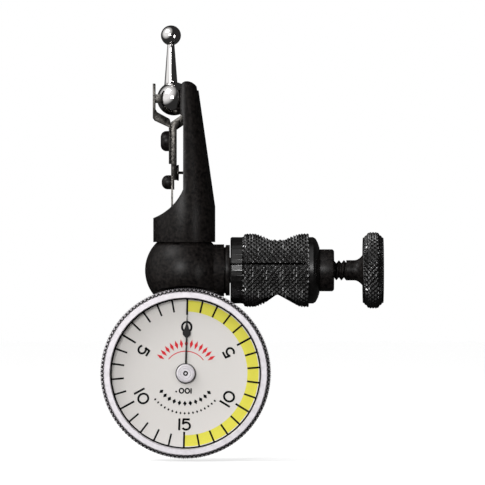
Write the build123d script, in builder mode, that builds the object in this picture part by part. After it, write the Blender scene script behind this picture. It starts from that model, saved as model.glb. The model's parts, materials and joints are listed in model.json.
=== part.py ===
"""Lever dial test indicator with a rod clamp, in millimetres.

+X runs along the clamp towards its thumb screw, +Z is up towards the contact ball, and the dial faces -Y.
The origin is the centre of the rod hole, on the clamp's axis.
The head (housing, tapered body and dial case) swivels about X on a stud that the split clamp sleeve grips.
The contact ball rocks a lever, whose push pin rocks a long toothed sector, which turns the pointer's pinion.
Depths along -Y are given as "forward" distances from the XZ plane, so a larger one is nearer the dial's face.
"""
from math import atan2, cos, degrees, hypot, pi, radians, sin, sqrt, tan
import os

from build123d import *

os.makedirs("parts", exist_ok=True)

# ---- Clearances -------------------------------------------------------------------------------------------
running_clearance = 0.03      # radial, pins and shafts that turn
sliding_clearance = 0.05      # radial, plunger and bezel
contact_gap = 0.02            # between faces that press on each other across a joint

# ---- Rod clamp --------------------------------------------------------------------------------------------
rod_radius = 3.572            # 9/32 in holding rod
rod_vee_half_angle = 50       # half the angle of the relief opposite the round wall
rod_lean = 7                  # the hole's lean from +Z towards +Y, in degrees
sleeve_radius = 5.86
sleeve_end_left = -7.4
knurl_start = -5.6
knurl_end = 4.95
collar_radius = 5.25
sleeve_end_right = 6.65
shoulder_radius = 3.6         # where the right shoulder meets the plug
under_notch_depth = 2.05      # V-notch across the underside
under_notch_left = 2.9
under_notch_right = 3.7
slit_width = 0.3
slit_angle = 10.8             # degrees above the horizontal, on the dial's side
slit_end = 4.4

stud_shank_radius = 2.0
stud_knob_radius = 2.9
stud_knob_length = 2.4
stud_lip = 1.3                # sleeve wall that holds the knob
stud_ring_radius = 4.0
stud_thread_radius = 1.6
stud_thread_length = 2.6

plunger_radius = 2.15
plunger_nose = 3.75
plunger_length = 3.3
plug_radius = 3.32
plug_spigot_radius = 3.0
plug_spigot_start = 4.8
plug_end = 8.95
plug_wall = 1.25              # end wall that the screw's thread runs in

thread_radius = 1.6
thread_end = 10.8
screw_neck_radius = 1.65
screw_flare_start = 12.4
screw_flare_radius = 2.5
knob_start = 13.5
knob_length = 3.25
knob_radius = 6.07
knob_chamfer = 0.95
screw_tip_radius = 1.0
screw_tip_length = 0.8

# ---- Head housing -----------------------------------------------------------------------------------------
head_x = -14.7                # the head's upright axis
case_neck_radius = 4.3        # inside the ball, it carries the case however low the dial hangs
ball_radius = 6.2
neck_radius = 4.1
neck_end = -8.4
tube_radius = 4.9
tube_bore = 3.6
tube_base = 4.45              # height where the tapered body sits on the ball
tube_spigot_length = 1.6

# ---- Dial case and bezel ----------------------------------------------------------------------------------
dial_drop = 16.2              # dial centre below the clamp's axis
dial_x = head_x + 0.25
case_radius = 12.6
case_bore = 10.3
case_ledge_radius = 11.25
case_front = 1.4
case_back = -4.4
spigot_radius = 12.2
spigot_front = 3.1
cover_thickness = 0.5
cover_radius = 11.7
bezel_radius = 13.5
bezel_back = 2.55
bezel_front = 5.6
bezel_opening = 11.87
bezel_face_radius = 12.75
bezel_edge_depth = 0.8         # height of the sloping edge round the face
crystal_radius = 12.1
dial_back = 3.2
dial_thickness = 0.3
crystal_back = 4.5
crystal_thickness = 0.6

# ---- Tapered body -----------------------------------------------------------------------------------------
taper_start = 10.0
taper_top = 30.0
taper_top_x = 2.05            # half sizes of the oval at the top
taper_top_y = 2.9
body_top = 29.8
flat_x = -14.85               # face that the lever lies along
flat_head_x = -15.33          # the same face beside the swivel ball
flat_head_z = 24.3
slope_low_z = 8.25
slope_high_z = 12.75
slot_half = 1.3
slot_bottom = 11.5
slot_back_low = -11.6
slot_back_high = -12.85

# ---- Contact and lever ------------------------------------------------------------------------------------
swivel_x = -16.35
swivel_z = 27.1
swivel_radius = 2.65
tip_x = -16.8
tip_z = 37.1
tip_radius = 1.5875           # 1/8 in ball
stem_top_radius = 0.56
stem_base_radius = 1.05
lever_pivot_x = -14.0
lever_pivot_z = 24.55
pivot_pin_radius = 0.35
lever_half = 1.15             # half width along Y of the part inside the slot
strip_half = 1.9              # half width along Y of the strip outside it
strip_left = -16.76
strip_right = -15.9
strip_foot_z = 14.25
tab_thickness = 0.2           # thin end of the strip that the leaf is screwed to
tab_foot_z = 12.75
leaf_thickness = 0.28
leaf_half = 1.2
leaf_foot_z = 6.3
jaw_strip_thickness = 0.36
jaw_finger_left = -19.65
jaw_finger_thickness = 0.4
jaw_finger_top = 29.45
jaw_half = 2.1
jaw_slot_half = 1.3
pad_height = 1.3
jaw_screw_z = 20.4
leaf_screw_z = 13.9
push_pin_z = 15.4
push_pin_radius = 0.22

# ---- Sector, pinion and pointer ---------------------------------------------------------------------------
sector_pivot_x = -13.6
sector_pin_arm = 2.6          # push pin below the sector's pivot
sector_teeth = 412            # of the whole wheel that the sector is cut from
sector_span = 19              # teeth that are cut
pinion_teeth = 14
pressure_angle = 20
backlash = 0.05
arm_half = 0.6
arm_slot_width = 2.4
case_slot_length = 2 * tube_bore + 1.6   # the arm swings further from its pivot here
arm_thickness = 0.6
gear_thickness = 0.5
pinion_length = 0.7
arbor_radius = 0.3
journal_radius = 0.25
pivot_radius = 0.15
plate_front = 1.5
plate_thickness = 0.6
bridge_back = -2.2
bridge_thickness = 0.6
jewel_radius = 0.7
hub_radius = 1.48
hub_back = 3.6
hub_front = 4.35
pointer_plane = 3.75
pointer_thickness = 0.1
pointer_length = 10.2
pointer_turn = 1.4            # degrees clockwise from straight up, as on the dial
hairspring_turns = 4
hairspring_inner = 0.62
hairspring_outer = 2.6
hairspring_wire = 0.07
hairspring_back = 0.6
hairspring_width = 0.35

# ---- Derived places ---------------------------------------------------------------------------------------
dial_z = -dial_drop
sector_pivot_z = push_pin_z + sector_pin_arm
centre_distance = hypot(sector_pivot_x - dial_x, sector_pivot_z - dial_z)
gear_module = 2 * centre_distance / (sector_teeth + pinion_teeth)
sector_radius = gear_module * sector_teeth / 2
pinion_radius = gear_module * pinion_teeth / 2
mesh_direction = degrees(atan2(dial_z - sector_pivot_z, dial_x - sector_pivot_x))
stud_face = sleeve_end_left - 0.1
leaf_right = strip_left + leaf_thickness
leaf_top_z = leaf_screw_z + 1.1
cavity_start = sleeve_end_left + stud_lip


def front_plane(forward):
    """The XZ plane moved towards the dial's face; sketches on it read (x, z), and extrude goes forward."""
    return Plane.XZ.offset(forward)


def disc(forward, length, radius, x=dial_x, z=dial_z, mode=Mode.ADD):
    """A round plate across the dial's axis, from one depth to a larger one."""
    with BuildSketch(front_plane(forward)) as profile:
        with Locations((x, z)):
            Circle(radius)
    extrude(profile.sketch, amount=length, mode=mode)


def turned(points, axis, mode=Mode.ADD):
    """A solid turned from an outline of (x, z) points about an axis in the XZ plane."""
    with BuildSketch(Plane.XZ) as profile:
        with BuildLine():
            Polyline(*points, close=True)
        make_face()
    revolve(profile.sketch, axis=axis, mode=mode)


def plate(points, forward, thickness, mode=Mode.ADD):
    """A flat piece cut from an outline of (x, z) points, centred or starting at a depth."""
    with BuildSketch(front_plane(forward)) as profile:
        with BuildLine():
            Polyline(*points, close=True)
        make_face()
    extrude(profile.sketch, amount=thickness, mode=mode)


def prism(points, half_width, mode=Mode.ADD):
    """An outline of (x, z) points, extruded both ways along Y."""
    plate(points, -half_width, 2 * half_width, mode)


def rod_along_x(start, end, radius, z, y=0.0, mode=Mode.ADD):
    """A round bar along X."""
    with BuildSketch(Plane.YZ.offset(start)) as profile:
        with Locations((y, z)):
            Circle(radius)
    extrude(profile.sketch, amount=end - start, mode=mode)


def save(part, label):
    """Writes one sub-part to its own STEP file."""
    part.label = label
    export_step(part, f"parts/{label}.step")


# ---- Rod clamp --------------------------------------------------------------------------------------------
def make_clamp_sleeve():
    """The split sleeve: rod hole down through it, stud cavity on the left, bore for the plug on the right.

    The bore passes the stud's knob, so the stud goes in from the right before the plug."""
    with BuildPart() as sleeve:
        turned(
            [
                (sleeve_end_left, 0),
                (sleeve_end_left, collar_radius - 0.2),
                (sleeve_end_left + 0.2, collar_radius),
                (knurl_start, collar_radius),
                (knurl_start + 0.6, sleeve_radius),
                (knurl_end, sleeve_radius),
                (knurl_end, collar_radius),
                (knurl_end + 0.85, collar_radius),
                (sleeve_end_right, shoulder_radius),
                (sleeve_end_right, 0),
            ],
            Axis.X,
        )
        vee_reach = rod_radius / sin(radians(rod_vee_half_angle))
        tangent_x = rod_radius * sin(radians(rod_vee_half_angle))
        tangent_y = rod_radius * cos(radians(rod_vee_half_angle))
        with BuildSketch(Plane.XY.rotated((-rod_lean, 0, 0))):
            Circle(rod_radius)
            with BuildLine():
                Polyline((0, 0), (tangent_x, -tangent_y), (vee_reach, 0), (tangent_x, tangent_y), close=True)
            make_face()
        extrude(amount=2 * sleeve_radius, both=True, mode=Mode.SUBTRACT)
        prism(
            [
                (0, under_notch_depth - sleeve_radius),
                (-under_notch_left, -sleeve_radius),
                (-under_notch_left, -2 * sleeve_radius),
                (under_notch_right, -2 * sleeve_radius),
                (under_notch_right, -sleeve_radius),
            ],
            2 * sleeve_radius,
            Mode.SUBTRACT,
        )
        rod_along_x(sleeve_end_left, cavity_start, stud_shank_radius + sliding_clearance, 0, mode=Mode.SUBTRACT)
        rod_along_x(cavity_start, 0, stud_knob_radius + sliding_clearance, 0, mode=Mode.SUBTRACT)
        rod_along_x(0, sleeve_end_right, plug_spigot_radius, 0, mode=Mode.SUBTRACT)
        slit_plane = Plane(origin=(sleeve_end_left, 0, 0), x_dir=(1, 0, 0), z_dir=(0, 0, 1)).rotated(
            (-slit_angle, 0, 0)
        )
        slit_length = slit_end - sleeve_end_left
        with BuildSketch(slit_plane.offset(-slit_width / 2)):
            with Locations((slit_length / 2, -sleeve_radius)):
                Rectangle(slit_length, 2 * sleeve_radius)
        extrude(amount=slit_width, mode=Mode.SUBTRACT)
    save(sleeve.part, "clamp_sleeve")


def make_end_plug():
    """The boss screwed into the sleeve's end, hollow for the plunger and tapped for the thumb screw."""
    guide = plunger_radius + sliding_clearance
    with BuildPart() as plug:
        turned(
            [
                (plug_spigot_start, guide),
                (plug_spigot_start, plug_spigot_radius),
                (sleeve_end_right, plug_spigot_radius),
                (sleeve_end_right, plug_radius),
                (plug_end - 0.25, plug_radius),
                (plug_end, plug_radius - 0.25),
                (plug_end, thread_radius + sliding_clearance),
                (plug_end - plug_wall, thread_radius + sliding_clearance),
                (plug_end - plug_wall, guide),
            ],
            Axis.X,
        )
    save(plug.part, "end_plug")


def make_plunger():
    """The pusher that grips the rod; the thumb screw's tip turns in its back."""
    with BuildPart() as plunger:
        rod_along_x(plunger_nose, plunger_nose + plunger_length, plunger_radius, 0)
        chamfer(plunger.faces().sort_by(Axis.X)[0].edges(), 0.3)
        rod_along_x(
            plunger_nose + plunger_length - screw_tip_length - 0.1,
            plunger_nose + plunger_length,
            screw_tip_radius + running_clearance,
            0,
            mode=Mode.SUBTRACT,
        )
    save(plunger.part, "plunger")


def make_thumb_screw():
    """The thumb screw: tip, threaded shank at its outer size, flared neck and disc head."""
    shank_start = plunger_nose + plunger_length + contact_gap
    tip_start = shank_start - screw_tip_length
    knob_end = knob_start + knob_length
    with BuildPart() as screw:
        turned(
            [
                (tip_start, 0),
                (tip_start, screw_tip_radius),
                (shank_start, screw_tip_radius),
                (shank_start, thread_radius - 0.2),
                (shank_start + 0.2, thread_radius),
                (thread_end, thread_radius),
                (thread_end + 0.05, screw_neck_radius),
                (screw_flare_start, screw_neck_radius),
                (knob_start, screw_flare_radius),
                (knob_start, knob_radius - knob_chamfer),
                (knob_start + knob_chamfer, knob_radius),
                (knob_end - knob_chamfer, knob_radius),
                (knob_end, knob_radius - knob_chamfer),
                (knob_end, 0),
            ],
            Axis.X,
        )
    save(screw.part, "thumb_screw")


# ---- Head housing -----------------------------------------------------------------------------------------
def make_swivel_stud():
    """The stud screwed into the housing's neck; the split sleeve grips its knob."""
    knob_start_x = cavity_start + sliding_clearance
    with BuildPart() as stud:
        turned(
            [
                (neck_end - stud_thread_length, 0),
                (neck_end - stud_thread_length, stud_thread_radius),
                (neck_end, stud_thread_radius),
                (neck_end, stud_ring_radius - 0.35),
                (neck_end + 0.2, stud_ring_radius - 0.35),
                (neck_end + 0.25, stud_ring_radius),
                (stud_face, stud_ring_radius),
                (stud_face, stud_shank_radius),
                (knob_start_x, stud_shank_radius),
                (knob_start_x, stud_knob_radius),
                (knob_start_x + stud_knob_length - 0.3, stud_knob_radius),
                (knob_start_x + stud_knob_length, stud_knob_radius - 0.5),
                (knob_start_x + stud_knob_length, 0),
            ],
            Axis.X,
        )
    save(stud.part, "swivel_stud")


def make_head_housing():
    """The ball-shaped housing with its side neck, bored down its axis and notched for the case and bezel."""
    with BuildPart() as housing:
        with Locations((head_x, 0, 0)):
            Sphere(ball_radius)
            Cylinder(case_neck_radius, dial_drop, align=(Align.CENTER, Align.CENTER, Align.MAX))
        rod_along_x(head_x, neck_end, neck_radius, 0)
        with BuildSketch(Plane.XY.offset(tube_base)):
            with Locations((head_x, 0)):
                Rectangle(3 * ball_radius, 3 * ball_radius)
        extrude(amount=ball_radius, mode=Mode.SUBTRACT)
        disc(case_back - 2 * ball_radius, 4 * ball_radius + case_front, case_radius, mode=Mode.SUBTRACT)
        disc(bezel_back - 0.25, 2 * ball_radius, bezel_radius + 0.3, mode=Mode.SUBTRACT)
        with BuildSketch(Plane.XY):
            with Locations((head_x, 0)):
                Circle(tube_bore)
        extrude(amount=ball_radius, mode=Mode.SUBTRACT)
        with BuildSketch(Plane.XY):
            with Locations((head_x, 0)):
                Rectangle(2 * tube_bore, arm_slot_width)
        extrude(amount=-dial_drop, mode=Mode.SUBTRACT)
        rod_along_x(neck_end - stud_thread_length, neck_end, stud_thread_radius, 0, mode=Mode.SUBTRACT)
    save(housing.part, "head_housing")


def make_tapered_body():
    """The tapered tube that carries the lever, with its slot, spring post, and pin holes drilled from the back."""
    with BuildPart() as body:
        with BuildSketch(Plane.XY.offset(tube_base)):
            with Locations((head_x, 0)):
                Circle(tube_radius)
        extrude(amount=taper_start - tube_base)
        with BuildSketch(Plane.XY.offset(taper_start)):
            with Locations((head_x, 0)):
                Circle(tube_radius)
        with BuildSketch(Plane.XY.offset(taper_top)):
            with Locations((head_x, 0)):
                Ellipse(taper_top_x, taper_top_y)
        loft()
        with BuildSketch(front_plane(-2 * tube_radius)):
            with BuildLine():
                Polyline(
                    (head_x + tube_radius + 1, body_top - 1.9),
                    (head_x + tube_radius + 1, tube_base),
                    (head_x - tube_radius - 1, tube_base),
                    (head_x - tube_radius - 1, slope_low_z),
                    (head_x - tube_radius, slope_low_z),
                )
                ThreePointArc(
                    (head_x - tube_radius, slope_low_z),
                    (head_x - 0.55 * tube_radius, (slope_low_z + slope_high_z) / 2 - 1.05),
                    (flat_x, slope_high_z),
                )
                Polyline(
                    (flat_x, slope_high_z),
                    (flat_x, flat_head_z),
                    (flat_head_x, flat_head_z + 0.25),
                    (flat_head_x, body_top - 1.2),
                )
                ThreePointArc(
                    (flat_head_x, body_top - 1.2),
                    (flat_head_x + 0.26, body_top - 0.35),
                    (flat_head_x + 0.9, body_top),
                )
                Line((flat_head_x + 0.9, body_top), (head_x + 0.6, body_top))
                ThreePointArc(
                    (head_x + 0.6, body_top),
                    (head_x + 1.75, body_top - 0.55),
                    (head_x + taper_top_x + 0.3, body_top - 1.9),
                )
                Line(
                    (head_x + taper_top_x + 0.3, body_top - 1.9),
                    (head_x + tube_radius + 1, body_top - 1.9),
                )
            make_face()
        extrude(amount=4 * tube_radius, mode=Mode.INTERSECT)
        with BuildSketch(Plane.XY.offset(tube_base)):
            with Locations((head_x, 0)):
                Circle(tube_bore)
        extrude(amount=slot_bottom + 0.6 - tube_base, mode=Mode.SUBTRACT)
        prism(
            [
                (flat_head_x - 1, slot_bottom),
                (slot_back_low, slot_bottom),
                (slot_back_high, swivel_z),
                (slot_back_high, body_top - 1.4),
                (head_x + 2 * taper_top_x, body_top - 1.4),
                (head_x + 2 * taper_top_x, body_top + 1),
                (flat_head_x - 1, body_top + 1),
            ],
            slot_half,
            Mode.SUBTRACT,
        )
        with BuildSketch(front_plane(-swivel_radius)):
            with Locations((swivel_x, swivel_z)):
                Circle(swivel_radius + 0.25)
        extrude(amount=2 * swivel_radius, mode=Mode.SUBTRACT)
        post_left = head_x - (tube_bore + tube_radius) / 2
        post_right = strip_left
        with BuildSketch(Plane.XY.offset(leaf_foot_z)):
            with Locations(((post_left + post_right) / 2, 0)):
                Rectangle(post_right - post_left, 2 * leaf_half)
        extrude(amount=1.7)
        disc(-2 * tube_radius, 2 * tube_radius + 2.4, pivot_pin_radius, lever_pivot_x, lever_pivot_z, Mode.SUBTRACT)
        disc(-2 * tube_radius, 2 * tube_radius + 2.4, pivot_pin_radius, sector_pivot_x, sector_pivot_z, Mode.SUBTRACT)
        rod_along_x(post_left + 0.2, post_right, 0.3, leaf_foot_z + 0.85, mode=Mode.SUBTRACT)
    save(body.part, "tapered_body")


def make_pin(x, z, back, label):
    """A plain pivot pin, pushed in from the back and hidden from the dial's side."""
    with BuildPart() as pin:
        disc(-back, back + 2.4, pivot_pin_radius, x, z)
    save(pin.part, label)


# ---- Dial case and its covers -----------------------------------------------------------------------------
def around_dial(radius, count, first):
    """Places (x, z) on a circle about the dial's axis, the first one at an angle in degrees from +X."""
    angles = [radians(first + 360 * step / count) for step in range(count)]
    return [(dial_x + radius * cos(angle), dial_z + radius * sin(angle)) for angle in angles]


cover_screw_places = around_dial((case_bore + cover_radius) / 2, 3, 30)
plate_screw_places = around_dial((case_bore + case_ledge_radius) / 2, 3, 30)
pillar_places = [(dial_x - 5, dial_z - 4), (dial_x + 5, dial_z - 4)]
small_screw_radius = 0.35


def make_dial_case():
    """The round case: a ledge for the movement plate, a spigot for the bezel, a slot for the sector arm."""
    with BuildPart() as case:
        disc(case_back, case_front - case_back, case_radius)
        disc(case_front, spigot_front - case_front, spigot_radius)
        disc(case_back, spigot_front - case_back, case_bore, mode=Mode.SUBTRACT)
        disc(plate_front, spigot_front - plate_front, case_ledge_radius, mode=Mode.SUBTRACT)
        disc(case_back, cover_thickness, cover_radius, mode=Mode.SUBTRACT)
        with BuildSketch(Plane.XY.offset(dial_z + 6)):
            with Locations((head_x, 0)):
                Rectangle(case_slot_length, arm_slot_width)
        extrude(amount=2 * case_radius, mode=Mode.SUBTRACT)
        for x, z in cover_screw_places:
            disc(case_back, 2.2, small_screw_radius, x, z, Mode.SUBTRACT)
        for x, z in plate_screw_places:
            disc(plate_front - 1.5, 1.5, small_screw_radius, x, z, Mode.SUBTRACT)
    save(case.part, "dial_case")


def make_back_cover():
    """The round cover let into the case's back."""
    with BuildPart() as cover:
        disc(case_back, cover_thickness, cover_radius)
        for x, z in cover_screw_places:
            disc(case_back, cover_thickness, small_screw_radius, x, z, Mode.SUBTRACT)
    save(cover.part, "back_cover")


def make_cover_screws():
    """Three slotted screws in the back cover."""
    with BuildPart() as screws:
        for x, z in cover_screw_places:
            disc(case_back, 2.0, small_screw_radius, x, z)
            disc(case_back - 0.3, 0.3, 0.7, x, z)
            with BuildSketch(front_plane(case_back - 0.3)) as slot:
                with Locations((x, z)):
                    Rectangle(1.6, 0.2)
            extrude(slot.sketch, amount=0.15, mode=Mode.SUBTRACT)
    save(screws.part, "cover_screws")


# ---- Bezel, dial and crystal ------------------------------------------------------------------------------
def make_bezel():
    """The turning rim: it slips over the case's spigot and carries the dial and the crystal."""
    bezel_bore = spigot_radius + sliding_clearance
    dial_front = dial_back + dial_thickness
    with BuildPart() as bezel:
        disc(bezel_back, bezel_front - bezel_back, bezel_radius)
        chamfer(bezel.faces().sort_by(Axis.Y)[-1].edges(), 0.15)
        front_edge = bezel.faces().sort_by(Axis.Y)[0].edges()
        chamfer(front_edge, bezel_edge_depth, bezel_radius - bezel_face_radius)
        disc(bezel_back, bezel_front - bezel_back, bezel_opening, mode=Mode.SUBTRACT)
        disc(bezel_back, dial_front - bezel_back, bezel_bore, mode=Mode.SUBTRACT)
        disc(crystal_back, crystal_thickness, crystal_radius, mode=Mode.SUBTRACT)
    save(bezel.part, "bezel")


def make_crystal():
    """The flat crystal, snapped into the bezel's groove."""
    with BuildPart() as crystal:
        disc(crystal_back, crystal_thickness, crystal_radius)
    save(crystal.part, "crystal")


def make_dial_plate():
    """The dial, which turns with the bezel."""
    with BuildPart() as dial:
        disc(dial_back, dial_thickness, spigot_radius + sliding_clearance)
        disc(dial_back, dial_thickness, 0.9, mode=Mode.SUBTRACT)
    save(dial.part, "dial_plate")


# ---- Movement ---------------------------------------------------------------------------------------------
def make_movement_plate():
    """The front plate, screwed to the case's ledge, with holes for its jewel and the bridge's pillars."""
    with BuildPart() as front:
        disc(plate_front, plate_thickness, case_ledge_radius)
        disc(plate_front, plate_thickness, jewel_radius, mode=Mode.SUBTRACT)
        for x, z in plate_screw_places + pillar_places:
            disc(plate_front, plate_thickness, small_screw_radius, x, z, Mode.SUBTRACT)
    save(front.part, "movement_plate")


def make_plate_screws():
    """Three screws that hold the movement plate in the case."""
    with BuildPart() as screws:
        for x, z in plate_screw_places:
            disc(plate_front - 1.4, 1.4 + plate_thickness, small_screw_radius, x, z)
            disc(plate_front + plate_thickness, 0.3, 0.45, x, z)
    save(screws.part, "plate_screws")


def make_pillars():
    """Two pillars between the movement plate and the bridge, riveted through the plate."""
    bridge_front = bridge_back + bridge_thickness
    with BuildPart() as pillars:
        for x, z in pillar_places:
            disc(bridge_front, plate_front - bridge_front, 0.9, x, z)
            disc(plate_front, plate_thickness, small_screw_radius, x, z)
            disc(bridge_back, bridge_thickness, small_screw_radius, x, z)
    save(pillars.part, "bridge_pillars")


def make_bridge():
    """The rear bridge: a bar across the pillars that reaches up to the pointer's axis."""
    (left_x, foot_z), (right_x, _) = pillar_places
    with BuildPart() as bridge:
        with BuildSketch(front_plane(bridge_back)):
            with BuildLine():
                Polyline(
                    (left_x - 1.2, foot_z - 1.2),
                    (right_x + 1.2, foot_z - 1.2),
                    (right_x + 1.2, foot_z + 1.2),
                    (dial_x + 1.5, dial_z + 1.5),
                    (dial_x - 1.5, dial_z + 1.5),
                    (left_x - 1.2, foot_z + 1.2),
                    close=True,
                )
            make_face()
            with Locations((dial_x, dial_z)):
                Circle(jewel_radius, mode=Mode.SUBTRACT)
            with Locations(*pillar_places):
                Circle(small_screw_radius, mode=Mode.SUBTRACT)
        extrude(amount=bridge_thickness)
    save(bridge.part, "rear_bridge")


def make_jewel(back, thickness, shaft, label):
    """A ring jewel pressed into a plate."""
    with BuildPart() as jewel:
        disc(back, thickness, jewel_radius)
        disc(back, thickness, shaft + running_clearance, mode=Mode.SUBTRACT)
    save(jewel.part, label)


def make_hairspring_stud():
    """The peg on the movement plate that holds the hairspring's outer end."""
    with BuildPart() as stud:
        disc(hairspring_back, plate_front - hairspring_back, 0.25, dial_x + hairspring_outer + 0.3, dial_z)
    save(stud.part, "hairspring_stud")


def make_hairspring():
    """The flat spiral from the arbor's collet to the stud."""
    steps = 24 * hairspring_turns
    pitch = (hairspring_outer - hairspring_inner) / steps

    def along(offset):
        return [
            (
                dial_x + (hairspring_inner + pitch * step + offset) * cos(radians(15 * step)),
                dial_z + (hairspring_inner + pitch * step + offset) * sin(radians(15 * step)),
            )
            for step in range(steps + 1)
        ]

    half = hairspring_wire / 2
    with BuildPart() as spring:
        with BuildSketch(front_plane(hairspring_back)):
            with BuildLine():
                Spline(*along(half))
                Line(along(half)[-1], along(-half)[-1])
                Spline(*along(-half))
                Line(along(-half)[0], along(half)[0])
            make_face()
        extrude(amount=hairspring_width)
    save(spring.part, "hairspring")


def gear_tooth(pitch_radius, outwards):
    """Half thicknesses of a tooth at its root, pitch line and tip, as (radius, half width) pairs."""
    half_pitch = gear_module * pi / 4 - backlash / 2
    slope = tan(radians(pressure_angle))
    tip = 0.95 * gear_module
    root = 1.25 * gear_module
    return [
        (pitch_radius - outwards * root, half_pitch + root * slope * 0.7),
        (pitch_radius, half_pitch),
        (pitch_radius + outwards * tip * 0.6, half_pitch - 0.75 * tip * slope),
        (pitch_radius + outwards * tip, half_pitch - 1.5 * tip * slope),
    ]


def toothed_outline(centre, pitch_radius, teeth, angles):
    """The tooth side of a gear as (x, z) points, one tooth at each angle in degrees from +X."""
    points = []
    for angle in angles:
        flank = gear_tooth(pitch_radius, 1)
        sides = [(r, -w) for r, w in flank] + [(r, w) for r, w in reversed(flank)]
        for r, w in sides:
            turn = radians(angle) + w / r
            points.append((centre[0] + r * cos(turn), centre[1] + r * sin(turn)))
    return points


def make_pointer_arbor():
    """The pointer's arbor, with the pinion cut on it and a pivot at the back."""
    bridge_front = bridge_back + bridge_thickness
    pinion_back = -arm_thickness / 2 - gear_thickness - 0.1
    first = mesh_direction + 180 + 180 / pinion_teeth
    angles = [first + 360 * tooth / pinion_teeth for tooth in range(pinion_teeth)]
    with BuildPart() as arbor:
        plate(toothed_outline((dial_x, dial_z), pinion_radius, pinion_teeth, angles), pinion_back, pinion_length)
        disc(bridge_back + 0.1, bridge_thickness + contact_gap, pivot_radius)
        disc(bridge_front + contact_gap, pinion_back - bridge_front - contact_gap, arbor_radius)
        disc(pinion_back + pinion_length, plate_front - contact_gap - pinion_back - pinion_length, arbor_radius)
        disc(plate_front - contact_gap, hub_front - 0.15 - plate_front + contact_gap, journal_radius)
    save(arbor.part, "pointer_arbor")


def make_hairspring_collet():
    """The collet on the arbor that holds the hairspring's inner end."""
    with BuildPart() as collet:
        disc(hairspring_back - 0.1, hairspring_width + 0.2, hairspring_inner - hairspring_wire / 2)
        disc(hairspring_back - 0.1, hairspring_width + 0.2, arbor_radius, mode=Mode.SUBTRACT)
    save(collet.part, "hairspring_collet")


def make_pointer_hub():
    """The pointer's domed hub, pressed on the arbor's front end."""
    with BuildPart() as hub:
        disc(hub_back, hub_front - hub_back, 1.0)
        disc(pointer_plane + pointer_thickness, hub_front - pointer_plane - pointer_thickness, hub_radius)
        chamfer(hub.faces().sort_by(Axis.Y)[0].edges(), 0.15)
        disc(hub_back, hub_front - 0.15 - hub_back, journal_radius, mode=Mode.SUBTRACT)
    save(hub.part, "pointer_hub")


def make_pointer_hand():
    """The thin pointer with its spade, on the hub's collar."""
    pointer_side = [(0.15, 0), (0.12, 5.6), (0.58, 6.05), (0.64, 6.45), (0.34, 7.05), (0.2, 7.5), (0.09, 8.0)]
    with BuildPart() as hand:
        with BuildSketch(front_plane(pointer_plane)):
            with BuildLine():
                Polyline(*[(dial_x - w, dial_z + z) for w, z in pointer_side], (dial_x, dial_z + pointer_length))
                Polyline(
                    (dial_x, dial_z + pointer_length),
                    *[(dial_x + w, dial_z + z) for w, z in reversed(pointer_side)],
                )
                Line((dial_x + pointer_side[0][0], dial_z), (dial_x - pointer_side[0][0], dial_z))
            make_face()
            with Locations((dial_x, dial_z)):
                Circle(hub_radius)
                Circle(1.0, mode=Mode.SUBTRACT)
        extrude(amount=pointer_thickness)
    dial_axis = Axis((dial_x, 0, dial_z), (0, 1, 0))
    save(hand.part.rotate(dial_axis, pointer_turn), "pointer_hand")


def sector_point(radius, offset):
    """A place at a distance from the sector's pivot, and an angle in degrees off the line to the pinion."""
    turn = radians(mesh_direction + offset)
    return (sector_pivot_x + radius * cos(turn), sector_pivot_z + radius * sin(turn))


sector_rivets = [sector_point(sector_radius - 4.9, 0), sector_point(sector_radius - 3.6, 0)]


def make_sector_arm():
    """The long arm from the sector's pivot down through the tube into the case."""
    across = degrees(arm_half / (sector_radius - 3))
    near = degrees(arm_half / 1.0)
    with BuildPart() as arm:
        prism(
            [
                sector_point(1.0, -near),
                sector_point(sector_radius - 3, -across),
                sector_point(sector_radius - 3, across),
                sector_point(1.0, near),
            ],
            arm_thickness / 2,
        )
        disc(-arm_thickness / 2, arm_thickness, 0.85, sector_pivot_x, sector_pivot_z)
        disc(
            -arm_thickness / 2,
            arm_thickness,
            pivot_pin_radius + running_clearance,
            sector_pivot_x,
            sector_pivot_z,
            Mode.SUBTRACT,
        )
        for x, z in sector_rivets:
            disc(-arm_thickness / 2, arm_thickness, 0.25, x, z, Mode.SUBTRACT)
    save(arm.part, "sector_arm")


def make_sector_gear():
    """The toothed fan, riveted to the arm's back."""
    pitch = 360 / sector_teeth
    reach = (sector_span - 1) / 2
    angles = [mesh_direction + pitch * (step - reach) for step in range(sector_span)]
    rim = sector_radius - 1.6
    edge = pitch * reach
    outline = toothed_outline((sector_pivot_x, sector_pivot_z), sector_radius, sector_teeth, angles)
    with BuildPart() as gear:
        plate(
            outline
            + [sector_point(rim, edge), sector_point(sector_radius - 5.5, 1.4)]
            + [sector_point(sector_radius - 5.5, -1.4), sector_point(rim, -edge)],
            -arm_thickness / 2 - gear_thickness,
            gear_thickness,
        )
        for x, z in sector_rivets:
            disc(-arm_thickness / 2 - gear_thickness, gear_thickness, 0.25, x, z, Mode.SUBTRACT)
    save(gear.part, "sector_gear")


def make_sector_rivets():
    """Two rivets through the arm and the fan."""
    with BuildPart() as rivets:
        for x, z in sector_rivets:
            disc(-arm_thickness / 2 - gear_thickness, arm_thickness + gear_thickness, 0.25, x, z)
            disc(arm_thickness / 2, 0.1, 0.4, x, z)
    save(rivets.part, "sector_rivets")


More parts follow.
